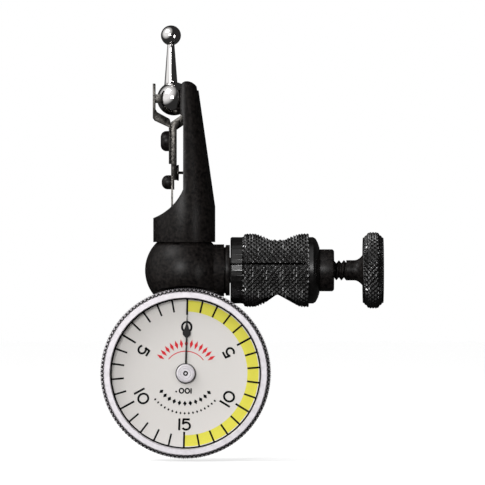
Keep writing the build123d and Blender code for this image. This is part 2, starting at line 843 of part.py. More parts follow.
# ---- Lever ------------------------------------------------------------------------------------------------
def make_lever_arm():
    """The lever: a strip outside the body, a cranked root on the pivot, and a seat behind the swivel ball.

    The strip ends in a thin tab for the return leaf."""
    seat_right = slot_back_high - 0.3
    with BuildPart() as lever:
        prism(
            [
                (strip_left, leaf_top_z),
                (leaf_right, leaf_top_z),
                (leaf_right, tab_foot_z),
                (leaf_right + tab_thickness, tab_foot_z),
                (leaf_right + tab_thickness, strip_foot_z),
                (strip_right, strip_foot_z),
                (strip_right, 22.2),
                (flat_head_x - 0.15, 23.1),
                (flat_head_x - 0.15, 23.75),
                (strip_left, 23.15),
            ],
            strip_half,
        )
        prism(
            [
                (strip_right, 22.2),
                (lever_pivot_x, 23.5),
                (seat_right, 24.2),
                (seat_right, swivel_z + 1.2),
                (swivel_x + swivel_radius - 0.2, swivel_z + 1.2),
                (swivel_x + 1.0, swivel_z - swivel_radius - 0.1),
                (strip_left, 23.4),
                (strip_left, 22.2),
            ],
            lever_half,
        )
        with Locations((swivel_x, 0, swivel_z)):
            Sphere(swivel_radius + contact_gap, mode=Mode.SUBTRACT)
        disc(-lever_half, 2 * lever_half, pivot_pin_radius + running_clearance, lever_pivot_x, lever_pivot_z, Mode.SUBTRACT)
        rod_along_x(strip_left, strip_right, 0.6, jaw_screw_z, mode=Mode.SUBTRACT)
        rod_along_x(leaf_right, leaf_right + tab_thickness, 0.45, leaf_screw_z, mode=Mode.SUBTRACT)
        rod_along_x(strip_left, strip_right, push_pin_radius, push_pin_z, mode=Mode.SUBTRACT)
    save(lever.part, "lever_arm")


def make_clamp_jaw():
    """The forked spring jaw outside the lever; its slot lets the contact stem swing down."""
    strip_outer = strip_left - jaw_strip_thickness
    with BuildPart() as jaw:
        prism(
            [
                (strip_left, push_pin_z + 1.4),
                (strip_left, 23.1),
                (strip_left - 0.25, 23.9),
                (jaw_finger_left + 0.7, 24.95),
                (jaw_finger_left + jaw_finger_thickness, 25.5),
                (jaw_finger_left + jaw_finger_thickness, jaw_finger_top),
                (jaw_finger_left, jaw_finger_top),
                (jaw_finger_left, 24.0),
                (jaw_finger_left + 0.25, 23.65),
                (strip_outer, 22.6),
                (strip_outer, push_pin_z + 1.4),
            ],
            jaw_half,
        )
        with BuildSketch(Plane.YZ.offset(jaw_finger_left - 1)):
            with Locations((0, (24.6 + jaw_finger_top + 1) / 2)):
                Rectangle(2 * jaw_slot_half, jaw_finger_top + 1 - 24.6)
        extrude(amount=3, mode=Mode.SUBTRACT)
        with Locations((swivel_x, 0, swivel_z)):
            Sphere(swivel_radius + 0.1, mode=Mode.SUBTRACT)
        rod_along_x(strip_outer, strip_left, 0.6, jaw_screw_z, mode=Mode.SUBTRACT)
    save(jaw.part, "clamp_jaw")


def make_friction_pads():
    """Two pads on the jaw's tines that press on the swivel ball."""
    pad_y = (jaw_slot_half + jaw_half) / 2
    finger_right = jaw_finger_left + jaw_finger_thickness
    with BuildPart() as pads:
        with BuildSketch(Plane.YZ.offset(finger_right)):
            with Locations((-pad_y, swivel_z), (pad_y, swivel_z)):
                Rectangle(jaw_half - jaw_slot_half - 0.1, pad_height)
        extrude(amount=swivel_x - finger_right)
        with Locations((swivel_x, 0, swivel_z)):
            Sphere(swivel_radius + contact_gap, mode=Mode.SUBTRACT)
        with BuildSketch(Plane.YZ.offset(swivel_x - 1.2)):
            with Locations((0, swivel_z)):
                Rectangle(4 * swivel_radius, 4 * swivel_radius)
        extrude(amount=2 * swivel_radius, mode=Mode.SUBTRACT)
    save(pads.part, "friction_pads")


def head_screw(head_x_right, head_radius, head_height, shank_radius, shank_end, z, dome, label):
    """A slotted screw along X with its head to the left and its shank to the right."""
    top = head_x_right - head_height
    with BuildPart() as screw:
        rod_along_x(top, head_x_right, head_radius, z)
        fillet(screw.faces().sort_by(Axis.X)[0].edges(), dome)
        rod_along_x(head_x_right, shank_end, shank_radius, z)
        with BuildSketch(Plane.YZ.offset(top)) as slot:
            with Locations((0, z)):
                Rectangle(0.35, 3 * head_radius)
        extrude(slot.sketch, amount=0.4, mode=Mode.SUBTRACT)
    save(screw.part, label)


def make_push_pin():
    """The pin that rocks the sector, with a flange against the lever and a rounded nose."""
    nose = sector_point(sector_pin_arm, 0)[0] - arm_half - 0.05
    with BuildPart() as pin:
        rod_along_x(strip_left, nose, push_pin_radius, push_pin_z)
        fillet(pin.faces().sort_by(Axis.X)[-1].edges(), 0.12)
        rod_along_x(strip_right, strip_right + 0.35, 1.25, push_pin_z)
        chamfer(pin.faces().filter_by(Axis.X).group_by(Axis.X)[1][0].outer_wire().edges(), 0.12)
    save(pin.part, "push_pin")


def make_return_leaf():
    """The leaf that returns the lever, between the lever's foot and the post in the tube."""
    with BuildPart() as leaf:
        prism(
            [
                (strip_left, leaf_foot_z),
                (leaf_right, leaf_foot_z),
                (leaf_right, leaf_top_z),
                (strip_left, leaf_top_z),
            ],
            leaf_half,
        )
        rod_along_x(strip_left, leaf_right, 0.45, leaf_screw_z, mode=Mode.SUBTRACT)
        rod_along_x(strip_left, leaf_right, 0.3, leaf_foot_z + 0.85, mode=Mode.SUBTRACT)
    save(leaf.part, "return_leaf")


def make_leaf_anchor():
    """The screw that holds the leaf on its post, with its head inside the tube."""
    with BuildPart() as screw:
        rod_along_x(head_x - (tube_bore + tube_radius) / 2 + 0.2, leaf_right, 0.3, leaf_foot_z + 0.85)
        rod_along_x(leaf_right, leaf_right + 0.4, 0.6, leaf_foot_z + 0.85)
    save(screw.part, "leaf_anchor_screw")


# ---- Contact ----------------------------------------------------------------------------------------------
def make_contact():
    """The contact: swivel ball, tapered stem and hardened tip ball, one above the other."""
    reach = tip_z - swivel_z
    stem_start = sqrt(swivel_radius**2 - (stem_base_radius + swivel_x - tip_x) ** 2)
    stem_end = reach - sqrt(tip_radius**2 - stem_top_radius**2)
    place = Location((tip_x, 0, swivel_z))
    with BuildPart() as ball:
        with Locations((swivel_x, 0, swivel_z)):
            Sphere(swivel_radius)
        with Locations(place):
            Cylinder(0.5, 3 * swivel_radius, align=(Align.CENTER, Align.CENTER, Align.MIN), mode=Mode.SUBTRACT)
    save(ball.part, "swivel_ball")
    with BuildPart() as stem:
        with Locations(place):
            Cylinder(0.5, stem_start + 0.5, align=(Align.CENTER, Align.CENTER, Align.MIN))
        with Locations(place * Location((0, 0, stem_start))):
            Cone(
                stem_base_radius,
                stem_top_radius,
                stem_end - stem_start,
                align=(Align.CENTER, Align.CENTER, Align.MIN),
            )
        with Locations((tip_x, 0, tip_z)):
            Sphere(tip_radius, mode=Mode.SUBTRACT)
        with BuildPart(mode=Mode.PRIVATE) as clear_ball:
            with Locations((swivel_x, 0, swivel_z)):
                Sphere(swivel_radius)
            with Locations(place):
                Cylinder(0.5, 3 * swivel_radius, mode=Mode.SUBTRACT)
        add(clear_ball.part, mode=Mode.SUBTRACT)
    save(stem.part, "contact_stem")
    with BuildPart() as tip:
        with Locations((tip_x, 0, tip_z)):
            Sphere(tip_radius)
    save(tip.part, "contact_tip")


make_clamp_sleeve()
make_end_plug()
make_plunger()
make_thumb_screw()
make_swivel_stud()
make_head_housing()
make_tapered_body()
make_pin(lever_pivot_x, lever_pivot_z, 3.1, "lever_pivot_pin")
make_pin(sector_pivot_x, sector_pivot_z, 3.7, "sector_pivot_pin")
make_dial_case()
make_back_cover()
make_cover_screws()
make_bezel()
make_crystal()
make_dial_plate()
make_movement_plate()
make_plate_screws()
make_pillars()
make_bridge()
make_jewel(plate_front, plate_thickness, journal_radius, "front_jewel")
make_jewel(bridge_back, bridge_thickness, pivot_radius, "rear_jewel")
make_hairspring_stud()
make_hairspring()
make_pointer_arbor()
make_hairspring_collet()
make_pointer_hub()
make_pointer_hand()
make_sector_arm()
make_sector_gear()
make_sector_rivets()
make_lever_arm()
make_clamp_jaw()
make_friction_pads()
head_screw(strip_left - jaw_strip_thickness, 1.6, 1.3, 0.6, strip_right, jaw_screw_z, 0.9, "jaw_screw")
head_screw(strip_left, 1.12, 1.5, 0.45, leaf_right + tab_thickness, leaf_screw_z, 0.95, "leaf_screw")
make_push_pin()
make_return_leaf()
make_leaf_anchor()
make_contact()
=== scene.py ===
"""Looks of a lever test indicator with a rod clamp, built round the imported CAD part.

Lengths are millimetres times MM, in the part's own frame: +X along the clamp, +Z up, the dial faces -Y.
Turned pieces are made again here as fine meshes, so that knurls, the screw thread and the rope edge are
geometry.
Other pieces are copies of their CAD meshes with smooth shading and small bevels.
"""
import json
import math

import bmesh
import bpy
import numpy as np
from mathutils import Matrix, Vector


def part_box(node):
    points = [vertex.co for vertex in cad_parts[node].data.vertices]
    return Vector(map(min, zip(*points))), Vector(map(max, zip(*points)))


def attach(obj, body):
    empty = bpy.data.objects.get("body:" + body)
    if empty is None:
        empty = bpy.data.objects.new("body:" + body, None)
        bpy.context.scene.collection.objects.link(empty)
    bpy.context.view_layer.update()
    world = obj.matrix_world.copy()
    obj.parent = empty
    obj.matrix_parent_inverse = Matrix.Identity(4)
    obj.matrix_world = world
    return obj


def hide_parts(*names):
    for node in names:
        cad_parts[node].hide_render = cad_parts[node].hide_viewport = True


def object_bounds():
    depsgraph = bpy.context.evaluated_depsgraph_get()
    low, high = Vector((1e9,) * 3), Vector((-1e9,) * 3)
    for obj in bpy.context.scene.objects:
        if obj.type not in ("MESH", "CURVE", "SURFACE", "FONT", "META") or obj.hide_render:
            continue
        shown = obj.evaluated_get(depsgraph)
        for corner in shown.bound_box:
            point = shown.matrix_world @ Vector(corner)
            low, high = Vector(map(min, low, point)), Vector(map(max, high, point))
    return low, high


MM = 0.001
TURN = 2 * math.pi

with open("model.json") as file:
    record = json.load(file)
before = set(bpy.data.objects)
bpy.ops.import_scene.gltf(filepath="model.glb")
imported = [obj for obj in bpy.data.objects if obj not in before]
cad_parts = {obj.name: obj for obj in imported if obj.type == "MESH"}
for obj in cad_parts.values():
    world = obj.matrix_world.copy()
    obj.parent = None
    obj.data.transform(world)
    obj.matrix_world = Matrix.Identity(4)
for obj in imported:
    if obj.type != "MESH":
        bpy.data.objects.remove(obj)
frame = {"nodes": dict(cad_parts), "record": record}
cad_box = [list(corner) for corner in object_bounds()]
NODE_BODY = {node: body for body, nodes in frame["record"]["behaviour"]["bodies"].items() for node in nodes}
NODE_SLOT = {entry["node"]: entry["material_slot"] for entry in frame["record"]["subparts"]}

# ---- Places read from the frame ----------------------------------------------------------------------------
bezel_low, bezel_high = (Vector(corner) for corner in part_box("bezel"))
dial_low, dial_high = (Vector(corner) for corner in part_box("dial_plate"))
sleeve_low, sleeve_high = (Vector(corner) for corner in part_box("clamp_sleeve"))
screw_low, screw_high = (Vector(corner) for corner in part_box("thumb_screw"))
DIAL_CENTRE = (bezel_low + bezel_high) / 2
DIAL_FACE_Y = dial_low.y
DIAL_TURN = math.radians(1.4)          # clockwise lean of the whole dial
DIAL_RADIUS = 11.87 * MM
ROD_LEAN = math.radians(7)             # the rod hole leans from +Z towards +Y
SLIT_ANGLE = math.radians(10.8)        # the clamp slit, above the horizontal on the dial's side
ROD_RADIUS = 3.572                     # mm
VEE_HALF_ANGLE = math.radians(50)      # relief opposite the rod hole's round wall
SLIT_WIDTH, SLIT_END = 0.3, 4.4        # mm
SLEEVE_KNURLS, SCREW_KNURLS, BEZEL_KNURLS = 38, 42, 124     # ridges round each knurl
ROW_STEP = 0.09                        # mm between the rows of a knurled surface
THREAD_START, THREAD_END = 0.82, 10.95     # mm, the first from the screw's tip, the second along X
THREAD_PITCH, THREAD_MAJOR, THREAD_DEPTH = 0.79375, 1.6, 0.4


# ---- Materials ---------------------------------------------------------------------------------------------
def new_material(name, colour, roughness, metallic=0.0, **inputs):
    """A Principled material with plain values on its own sockets."""
    material = bpy.data.materials.new(name)
    material.use_nodes = True
    shader = material.node_tree.nodes["Principled BSDF"]
    shader.inputs["Base Color"].default_value = (*colour, 1)
    shader.inputs["Roughness"].default_value = roughness
    shader.inputs["Metallic"].default_value = metallic
    for key, value in inputs.items():
        shader.inputs[key.replace("_", " ")].default_value = value
    return material


def add_node(material, kind, **settings):
    node = material.node_tree.nodes.new(kind)
    for key, value in settings.items():
        setattr(node, key, value)
    return node


def mottle(material, dark, light, scale, roughness_low, roughness_high, bump=0.0, detail=6.0):
    """Noise over the piece's own position: colour between dark and light, and a roughness range."""
    tree = material.node_tree
    shader = tree.nodes["Principled BSDF"]
    place = add_node(material, "ShaderNodeTexCoord")
    noise = add_node(material, "ShaderNodeTexNoise")
    noise.inputs["Scale"].default_value = scale
    noise.inputs["Detail"].default_value = detail
    noise.inputs["Roughness"].default_value = 0.62
    tree.links.new(place.outputs["Object"], noise.inputs["Vector"])
    colours = add_node(material, "ShaderNodeValToRGB")
    colours.color_ramp.elements[0].position = 0.36
    colours.color_ramp.elements[0].color = (*dark, 1)
    colours.color_ramp.elements[1].position = 0.66
    colours.color_ramp.elements[1].color = (*light, 1)
    tree.links.new(noise.outputs["Fac"], colours.inputs["Fac"])
    tree.links.new(colours.outputs["Color"], shader.inputs["Base Color"])
    rough = add_node(material, "ShaderNodeMapRange")
    rough.inputs["To Min"].default_value = roughness_low
    rough.inputs["To Max"].default_value = roughness_high
    tree.links.new(noise.outputs["Fac"], rough.inputs["Value"])
    tree.links.new(rough.outputs["Result"], shader.inputs["Roughness"])
    if bump:
        relief = add_node(material, "ShaderNodeBump")
        relief.inputs["Strength"].default_value = bump
        relief.inputs["Distance"].default_value = 0.02 * MM
        tree.links.new(noise.outputs["Fac"], relief.inputs["Height"])
        tree.links.new(relief.outputs["Normal"], shader.inputs["Normal"])
    return material


MATERIALS = {
    "black_satin": mottle(
        new_material("black_satin", (0.004, 0.0035, 0.0035), 0.4, 0.0, Specular_IOR_Level=0.14),
        (0.0008, 0.0006, 0.0007), (0.015, 0.0125, 0.0115), 2000, 0.32, 0.46, bump=1.0,
    ),
    "black_knurl": mottle(
        new_material("black_knurl", (0.012, 0.011, 0.011), 0.26, 0.0, Specular_IOR_Level=0.8),
        (0.0012, 0.001, 0.001), (0.006, 0.0052, 0.005), 1800, 0.2, 0.3,
    ),
    "spring_steel": mottle(
        new_material("spring_steel", (0.05, 0.048, 0.045), 0.35, 0.9),
        (0.006, 0.0055, 0.005), (0.07, 0.066, 0.06), 2200, 0.24, 0.42, bump=0.6,
    ),
    "nickel": mottle(
        new_material("nickel", (0.7, 0.67, 0.7), 0.4, 0.6),
        (0.46, 0.44, 0.46), (0.58, 0.555, 0.58), 900, 0.42, 0.55,
    ),
    "chrome": new_material("chrome", (0.8, 0.78, 0.77), 0.06, 1.0),
    "crystal": new_material(
        "crystal", (0.0, 0.0, 0.0), 0.03, 0.0, Alpha=0.02, IOR=1.2, Specular_IOR_Level=0.1,
    ),
    "brass": mottle(
        new_material("brass", (0.6, 0.43, 0.18), 0.3, 0.95),
        (0.5, 0.35, 0.14), (0.66, 0.48, 0.2), 900, 0.24, 0.4,
    ),
    "jewel": new_material("jewel", (0.45, 0.01, 0.05), 0.08, 0.0, Transmission_Weight=0.4),
    "pointer_black": new_material("pointer_black", (0.004, 0.004, 0.004), 0.5, 0.0, Specular_IOR_Level=0.2),
    "dial": new_material("dial", (0.66, 0.635, 0.61), 0.6, 0.0, Specular_IOR_Level=0.2),
    "dial_ink": new_material("dial_ink", (0.004, 0.004, 0.004), 0.6, 0.0, Specular_IOR_Level=0.1),
    "dial_yellow": new_material("dial_yellow", (0.70, 0.65, 0.075), 0.6, 0.0, Specular_IOR_Level=0.2),
    "dial_red": new_material("dial_red", (0.62, 0.02, 0.03), 0.6, 0.0, Specular_IOR_Level=0.2),
}


# ---- Mesh helpers ------------------------------------------------------------------------------------------
def mesh_object(name, vertices, faces, material, smooth_angle=35):
    """An object from lists of corners and faces, smooth except over sharp edges."""
    mesh = bpy.data.meshes.new(name)
    mesh.from_pydata([tuple(v) for v in vertices], [], faces)
    mesh.validate()
    obj = bpy.data.objects.new(name, mesh)
    bpy.context.scene.collection.objects.link(obj)
    obj.data.materials.append(MATERIALS[material])
    smooth(obj, smooth_angle)
    return obj


def smooth(obj, angle):
    obj.data.shade_smooth()
    obj.data.set_sharp_from_angle(angle=math.radians(angle))


def apply_modifiers(obj):
    """Keeps the evaluated mesh and drops the modifiers."""
    graph = bpy.context.evaluated_depsgraph_get()
    finished = bpy.data.meshes.new_from_object(obj.evaluated_get(graph))
    obj.modifiers.clear()
    obj.data = finished


def place_on(obj, node, body=None, stands_for=True):
    """Ties a piece to the CAD node it shows, or to that node's body."""
    if stands_for:
        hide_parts(node)
    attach(obj, body or NODE_BODY[node])


def axis_frame(axis):
    """(along, across, up) unit vectors for a turned piece about the X axis or the dial's -Y axis."""
    if axis == "X":
        return Vector((1, 0, 0)), Vector((0, 1, 0)), Vector((0, 0, 1))
    return Vector((0, -1, 0)), Vector((1, 0, 0)), Vector((0, 0, 1))


def lathe(name, profile, axis, centre, sides, material, relief=None, smooth_angle=35, closed=False):
    """A turned piece, from (distance along the axis, radius) pairs in mm.

    relief(along, angle, radius) says how far the surface is lowered.
    """
    along, across, up = axis_frame(axis)
    vertices, faces = [], []
    for distance, radius in profile:
        for step in range(sides):
            angle = TURN * step / sides
            r = radius - (relief(distance, angle, radius) if relief else 0)
            point = along * distance + (across * math.cos(angle) + up * math.sin(angle)) * r
            vertices.append(centre + point * MM)
    rows = len(profile)
    last = rows if closed else rows - 1
    for row in range(last):
        for step in range(sides):
            a, b = row * sides, ((row + 1) % rows) * sides
            n = (step + 1) % sides
            faces.append((a + step, a + n, b + n, b + step))
    if not closed:
        faces.append(tuple(range(sides - 1, -1, -1)))
        faces.append(tuple((rows - 1) * sides + s for s in range(sides)))
    obj = mesh_object(name, vertices, faces, material, smooth_angle)
    grid = bmesh.new()
    grid.from_mesh(obj.data)
    bmesh.ops.recalc_face_normals(grid, faces=grid.faces)
    grid.to_mesh(obj.data)
    grid.free()
    smooth(obj, smooth_angle)
    return obj


def spread(points, step):
    """Adds rows to a profile so that none is further than step from the next."""
    rows = [points[0]]
    for (d0, r0), (d1, r1) in zip(points, points[1:]):
        count = max(1, math.ceil(math.hypot(d1 - d0, r1 - r0) / step))
        rows += [(d0 + (d1 - d0) * k / count, r0 + (r1 - r0) * k / count) for k in range(1, count + 1)]
    return rows


def diamond(along_period, around_count, depth, start, end, fade, flat=0.06):
    """Relief of a diamond knurl: two crossing families of helical grooves that fade out at both ends.

    flat is the share of each ridge left flat on top.
    """

    def relief(distance, angle, radius):
        if distance < start or distance > end:
            return 0.0
        edge = min(1.0, (distance - start) / fade, (end - distance) / fade)
        one = distance / along_period + around_count * angle / TURN
        two = distance / along_period - around_count * angle / TURN
        groove = max(abs(2 * (one % 1) - 1), abs(2 * (two % 1) - 1))
        return depth * max(0.0, edge) * (0.05 + 0.95 * max(0.0, (groove - flat) / (1 - flat)))

    return relief


def copy_of(node, bevel, name=None):
    """A copy of a CAD node's mesh with welded corners, a small bevel and smooth shading."""
    source = frame["nodes"][node]
    obj = bpy.data.objects.new(name or node + "_fine", source.data.copy())
    bpy.context.scene.collection.objects.link(obj)
    obj.matrix_world = source.matrix_world.copy()
    obj.data.materials.clear()
    obj.data.materials.append(MATERIALS[NODE_SLOT[node]])
    grid = bmesh.new()
    grid.from_mesh(obj.data)
    bmesh.ops.remove_doubles(grid, verts=grid.verts, dist=0.0005 * MM)
    bmesh.ops.dissolve_limit(grid, angle_limit=math.radians(0.5), verts=grid.verts, edges=grid.edges)
    grid.to_mesh(obj.data)
    grid.free()
    if obj.data.has_custom_normals:
        obj.data.normals_split_custom_set([(0, 0, 0)] * len(obj.data.loops))
    if bevel:
        rounding = obj.modifiers.new("bevel", "BEVEL")
        rounding.width = bevel * MM
        rounding.segments = 2
        rounding.limit_method = "ANGLE"
        rounding.angle_limit = math.radians(32)
        rounding.use_clamp_overlap = True
        apply_modifiers(obj)
    smooth(obj, 38)
    return obj


# ---- Clamp -------------------------------------------------------------------------------------------------
def cut(obj, cutter):
    """Takes one solid out of another."""
    step = obj.modifiers.new("cut", "BOOLEAN")
    step.operation = "DIFFERENCE"
    step.object = cutter
    step.solver = "EXACT"
    bpy.context.view_layer.update()
    apply_modifiers(obj)
    bpy.data.objects.remove(cutter)


def prism_cutter(points, depth_axis, low, high):
    """A cutter from an outline; depth_axis Z takes (x, y) points, Y takes (x, z) points. All in mm."""
    vertices = []
    for level in (low, high):
        for a, b in points:
            vertices.append(Vector((a, b, level) if depth_axis == "Z" else (a, level, b)) * MM)
    count = len(points)
    faces = [tuple(range(count - 1, -1, -1)), tuple(range(count, 2 * count))]
    faces += [(k, (k + 1) % count, count + (k + 1) % count, count + k) for k in range(count)]
    obj = mesh_object("cutter", vertices, faces, "black_knurl")
    grid = bmesh.new()
    grid.from_mesh(obj.data)
    bmesh.ops.recalc_face_normals(grid, faces=grid.faces)
    grid.to_mesh(obj.data)
    grid.free()
    return obj


def make_sleeve():
    """The knurled sleeve, with its rod hole, underside notch, slit and inner bores."""
    left = sleeve_low.x / MM
    right = sleeve_high.x / MM
    knurl_left, knurl_right = left + 1.8, 4.95
    collar, full = 5.25, sleeve_high.z / MM
    profile = [
        (left, 0.05), (left, collar - 0.2), (left + 0.2, collar), (knurl_left, collar),
        (knurl_left + 0.6, full), (knurl_right - 0.12, full), (knurl_right, full - 0.12),
        (knurl_right, collar),
        (knurl_right + 0.7, collar), (knurl_right + 1.1, collar - 0.25), (knurl_right + 1.45, collar - 0.9),
        (right, 3.6), (right, 0.05),
    ]
    outer = [p for p in profile if p[0] <= knurl_left] + spread(
        [(knurl_left, collar), (knurl_left + 0.6, full), (knurl_right - 0.12, full)], ROW_STEP
    )[1:] + profile[6:]
    knurl = diamond(0.86, SLEEVE_KNURLS, 0.36, knurl_left - 0.01, knurl_right - 0.06, 0.12)
    sleeve = lathe("knurled_sleeve", outer, "X", Vector(), SLEEVE_KNURLS * 12, "black_knurl", knurl, 30)
    tangent = math.pi / 2 - VEE_HALF_ANGLE
    arc = [
        (ROD_RADIUS * math.cos(a), ROD_RADIUS * math.sin(a))
        for a in np.linspace(tangent, TURN - tangent, 72)
    ]
    rod_hole = prism_cutter(arc + [(ROD_RADIUS / math.sin(VEE_HALF_ANGLE), 0)], "Z", -9, 9)
    rod_hole.data.transform(Matrix.Rotation(-ROD_LEAN, 4, "X"))
    cut(sleeve, rod_hole)
    notch = [(-2.9, -full), (0, 2.05 - full), (3.7, -full), (3.7, -9), (-2.9, -9)]
    cut(sleeve, prism_cutter(notch, "Y", -8, 8))
    slit_outline = [(left - 1, -9), (SLIT_END, -9), (SLIT_END, 0), (left - 1, 0)]
    slit = prism_cutter(slit_outline, "Z", -SLIT_WIDTH / 2, SLIT_WIDTH / 2)
    slit.data.transform(Matrix.Rotation(-SLIT_ANGLE, 4, "X"))
    cut(sleeve, slit)
    for start, end, radius in ((left - 1, left + 1.4, 2.05), (left + 1.3, 0.5, 2.95), (0, right + 1, 3.0)):
        cut(sleeve, lathe("bore", [(start, radius), (end, radius)], "X", Vector(), 64, "black_knurl"))
    smooth(sleeve, 30)
    place_on(sleeve, "clamp_sleeve")


def make_thumb_screw():
    """The knurled disc head and flared neck, with a real helical thread on the shank."""
    start, end = screw_low.x / MM, screw_high.x / MM
    knob = end - 3.25
    radius, chamfer = screw_high.z / MM, 0.95
    head = [(knob, 2.5), (knob, radius - chamfer)]
    rim = [(knob, radius - chamfer), (knob + chamfer, radius), (end - chamfer, radius), (end, radius - chamfer)]
    head += spread(rim, ROW_STEP)[1:] + [(end, radius - chamfer - 0.5), (end, 0.05)]
    knurl = diamond(0.84, SCREW_KNURLS, 0.32, knob + 0.05, end - 0.05, 0.15)

    def rim_only(distance, angle, r):
        return knurl(distance, angle, r) if r > radius - chamfer - 0.05 else 0

    disc = lathe("screw_head", head, "X", Vector(), SCREW_KNURLS * 12, "black_knurl", rim_only, 30)
    place_on(disc, "thumb_screw")
    neck_start, flare_start = 10.9, 0.45
    flare = [
        (
            neck_start + (knob - neck_start) * t,
            THREAD_MAJOR + 0.9 * max(0.0, (t - flare_start) / (1 - flare_start)) ** 2.2,
        )
        for t in np.linspace(0, 1, 26)
    ]
    neck_profile = [(neck_start, 0.05), (neck_start, 1.5)] + flare + [(knob + 0.01, 0.05)]
    neck = lathe("screw_neck", neck_profile, "X", Vector(), 96, "black_satin")
    place_on(neck, "thumb_screw", stands_for=False)
    rows = spread([(start + THREAD_START, THREAD_MAJOR - 0.1), (THREAD_END, THREAD_MAJOR)], 0.04)

    def thread(distance, angle, r):
        if r <= 1:
            return 0
        phase = (distance / THREAD_PITCH + angle / TURN) % 1
        return THREAD_DEPTH * min(1.0, max(0.0, 1.25 * abs(2 * phase - 1) - 0.12))

    shank_profile = [(start + THREAD_START, 0.05)] + rows + [(THREAD_END, 0.05)]
    shank = lathe("screw_thread", shank_profile, "X", Vector(), 64, "black_satin", thread, 50)
    place_on(shank, "thumb_screw", stands_for=False)
    tip_profile = [(start, 0.05), (start, 1.0), (start + 0.85, 1.0), (start + 0.85, 0.05)]
    tip = lathe("screw_tip", tip_profile, "X", Vector(), 48, "black_satin")
    place_on(tip, "thumb_screw", stands_for=False)


# ---- Bezel and dial ----------------------------------------------------------------------------------------
def make_bezel():
    """The turning rim, with a fine rope knurl on its edge."""
    back, front = -bezel_high.y / MM, -bezel_low.y / MM
    outer = (bezel_high.x - bezel_low.x) / 2 / MM
    bore, opening, groove = 12.25, DIAL_RADIUS / MM, 12.1
    dial_front = -DIAL_FACE_Y / MM
    crystal_low, crystal_high = (-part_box("crystal")[1][1] / MM, -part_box("crystal")[0][1] / MM)
    face, slope = 12.75, 0.8
    edge = spread(
        [(back, outer - 0.3), (back + 0.3, outer), (front - slope, outer), (front - 0.1, face + 0.22)], ROW_STEP
    )
    inside = [
        (front - 0.16, face + 0.12), (front - 0.04, face + 0.06), (front, face),
        (front, opening + 0.1), (front - 0.1, opening),
        (crystal_high, opening), (crystal_high, groove), (crystal_low, groove), (crystal_low, opening),
        (dial_front, opening), (dial_front, bore), (back, bore),
    ]
    ridge_length, rope_depth = 0.9, 0.34

    def rope(distance, angle, r):
        if r < face + 0.2 or distance < back + 0.05:
            return 0.0
        one = (distance / ridge_length + BEZEL_KNURLS * angle / TURN) % 1
        two = (distance / ridge_length - BEZEL_KNURLS * angle / TURN) % 1
        fade = min(1.0, (r - face - 0.16) / 0.12)
        return rope_depth * fade * (0.05 + 0.95 * max(abs(2 * one - 1), abs(2 * two - 1)))

    centre = Vector((DIAL_CENTRE.x, 0, DIAL_CENTRE.z))
    rim = lathe("bezel_rim", edge + inside, "Y", centre, BEZEL_KNURLS * 8, "nickel", rope, 30, closed=True)
    place_on(rim, "bezel")
    # Painted shade: a black ring just below the rope crests, so the grooves between the ridges show dark.
    sunk = 0.22
    knurl_shade_ring = lathe(
        "bezel_knurl_painted_shade",
        [(back + 0.3, outer - 0.6), (back + 0.3, outer - sunk), (front - slope, outer - sunk),
         (front - 0.32, face + 0.2), (front - 0.32, face - 0.1)],
        "Y", centre, 256, "black_satin", closed=True,
    )
    place_on(knurl_shade_ring, "bezel", stands_for=False)


def on_dial(radius, angle, lift=0.0):
    """A point on the dial: mm from the centre, degrees clockwise from the top, mm in front of the face."""
    turn = math.radians(angle) + DIAL_TURN
    return Vector((
        DIAL_CENTRE.x + radius * math.sin(turn) * MM,
        DIAL_FACE_Y - lift * MM,
        DIAL_CENTRE.z + radius * math.cos(turn) * MM,
    ))


def band(name, inner, outer, start, end, lift, material, step=1.5):
    """A flat ring or arc printed on the dial."""
    count = max(2, math.ceil((end - start) / step))
    vertices, faces = [], []
    for k in range(count + 1):
        angle = start + (end - start) * k / count
        vertices += [on_dial(inner, angle, lift), on_dial(outer, angle, lift)]
    for k in range(count):
        faces.append((2 * k, 2 * k + 1, 2 * k + 3, 2 * k + 2))
    return mesh_object(name, vertices, faces, material)


def tick(angle, inner, outer, width, lift):
    """Four corners of one printed line."""
    return [
        on_dial(radius, angle + side * math.degrees(width / 2 / radius), lift)
        for radius, side in ((inner, -1), (outer, -1), (outer, 1), (inner, 1))
    ]


def arc_points(centre_x, centre_y, reach_x, reach_y, start, end, count=24):
    """Points along part of an ellipse, in degrees anticlockwise from +x."""
    return [
        (centre_x + reach_x * math.cos(math.radians(a)), centre_y + reach_y * math.sin(math.radians(a)))
        for a in np.linspace(start, end, count)
    ]


FIGURE_LINES = {
    "0": [arc_points(0, 0, 0.74, 0.8, 0, 360, 41)],
    "1": [[(0, 0.94), (0, -0.94)]],
    "5": [
        [(0.55, 0.81), (-0.48, 0.81)],
        [(-0.42, 0.94), (-0.53, 0.02)],
        arc_points(-0.02, -0.24, 0.62, 0.57, 150, -148),
    ],
}
FIGURE_WIDTHS = {"0": 1.75, "1": 0.27, "5": 1.3}


def stroke(points, width):
    """The corners of a flat line of even width through (x, y) points, two for each point in turn."""
    corners = []
    for k, point in enumerate(points):
        before, after = points[max(0, k - 1)], points[min(len(points) - 1, k + 1)]
        if points[0] == points[-1] and k in (0, len(points) - 1):
            before, after = points[-2], points[1]
        along = Vector((after[0] - before[0], after[1] - before[1])).normalized()
        for side in (-1, 1):
            corners.append((point[0] - side * along.y * width / 2, point[1] + side * along.x * width / 2))
    return corners


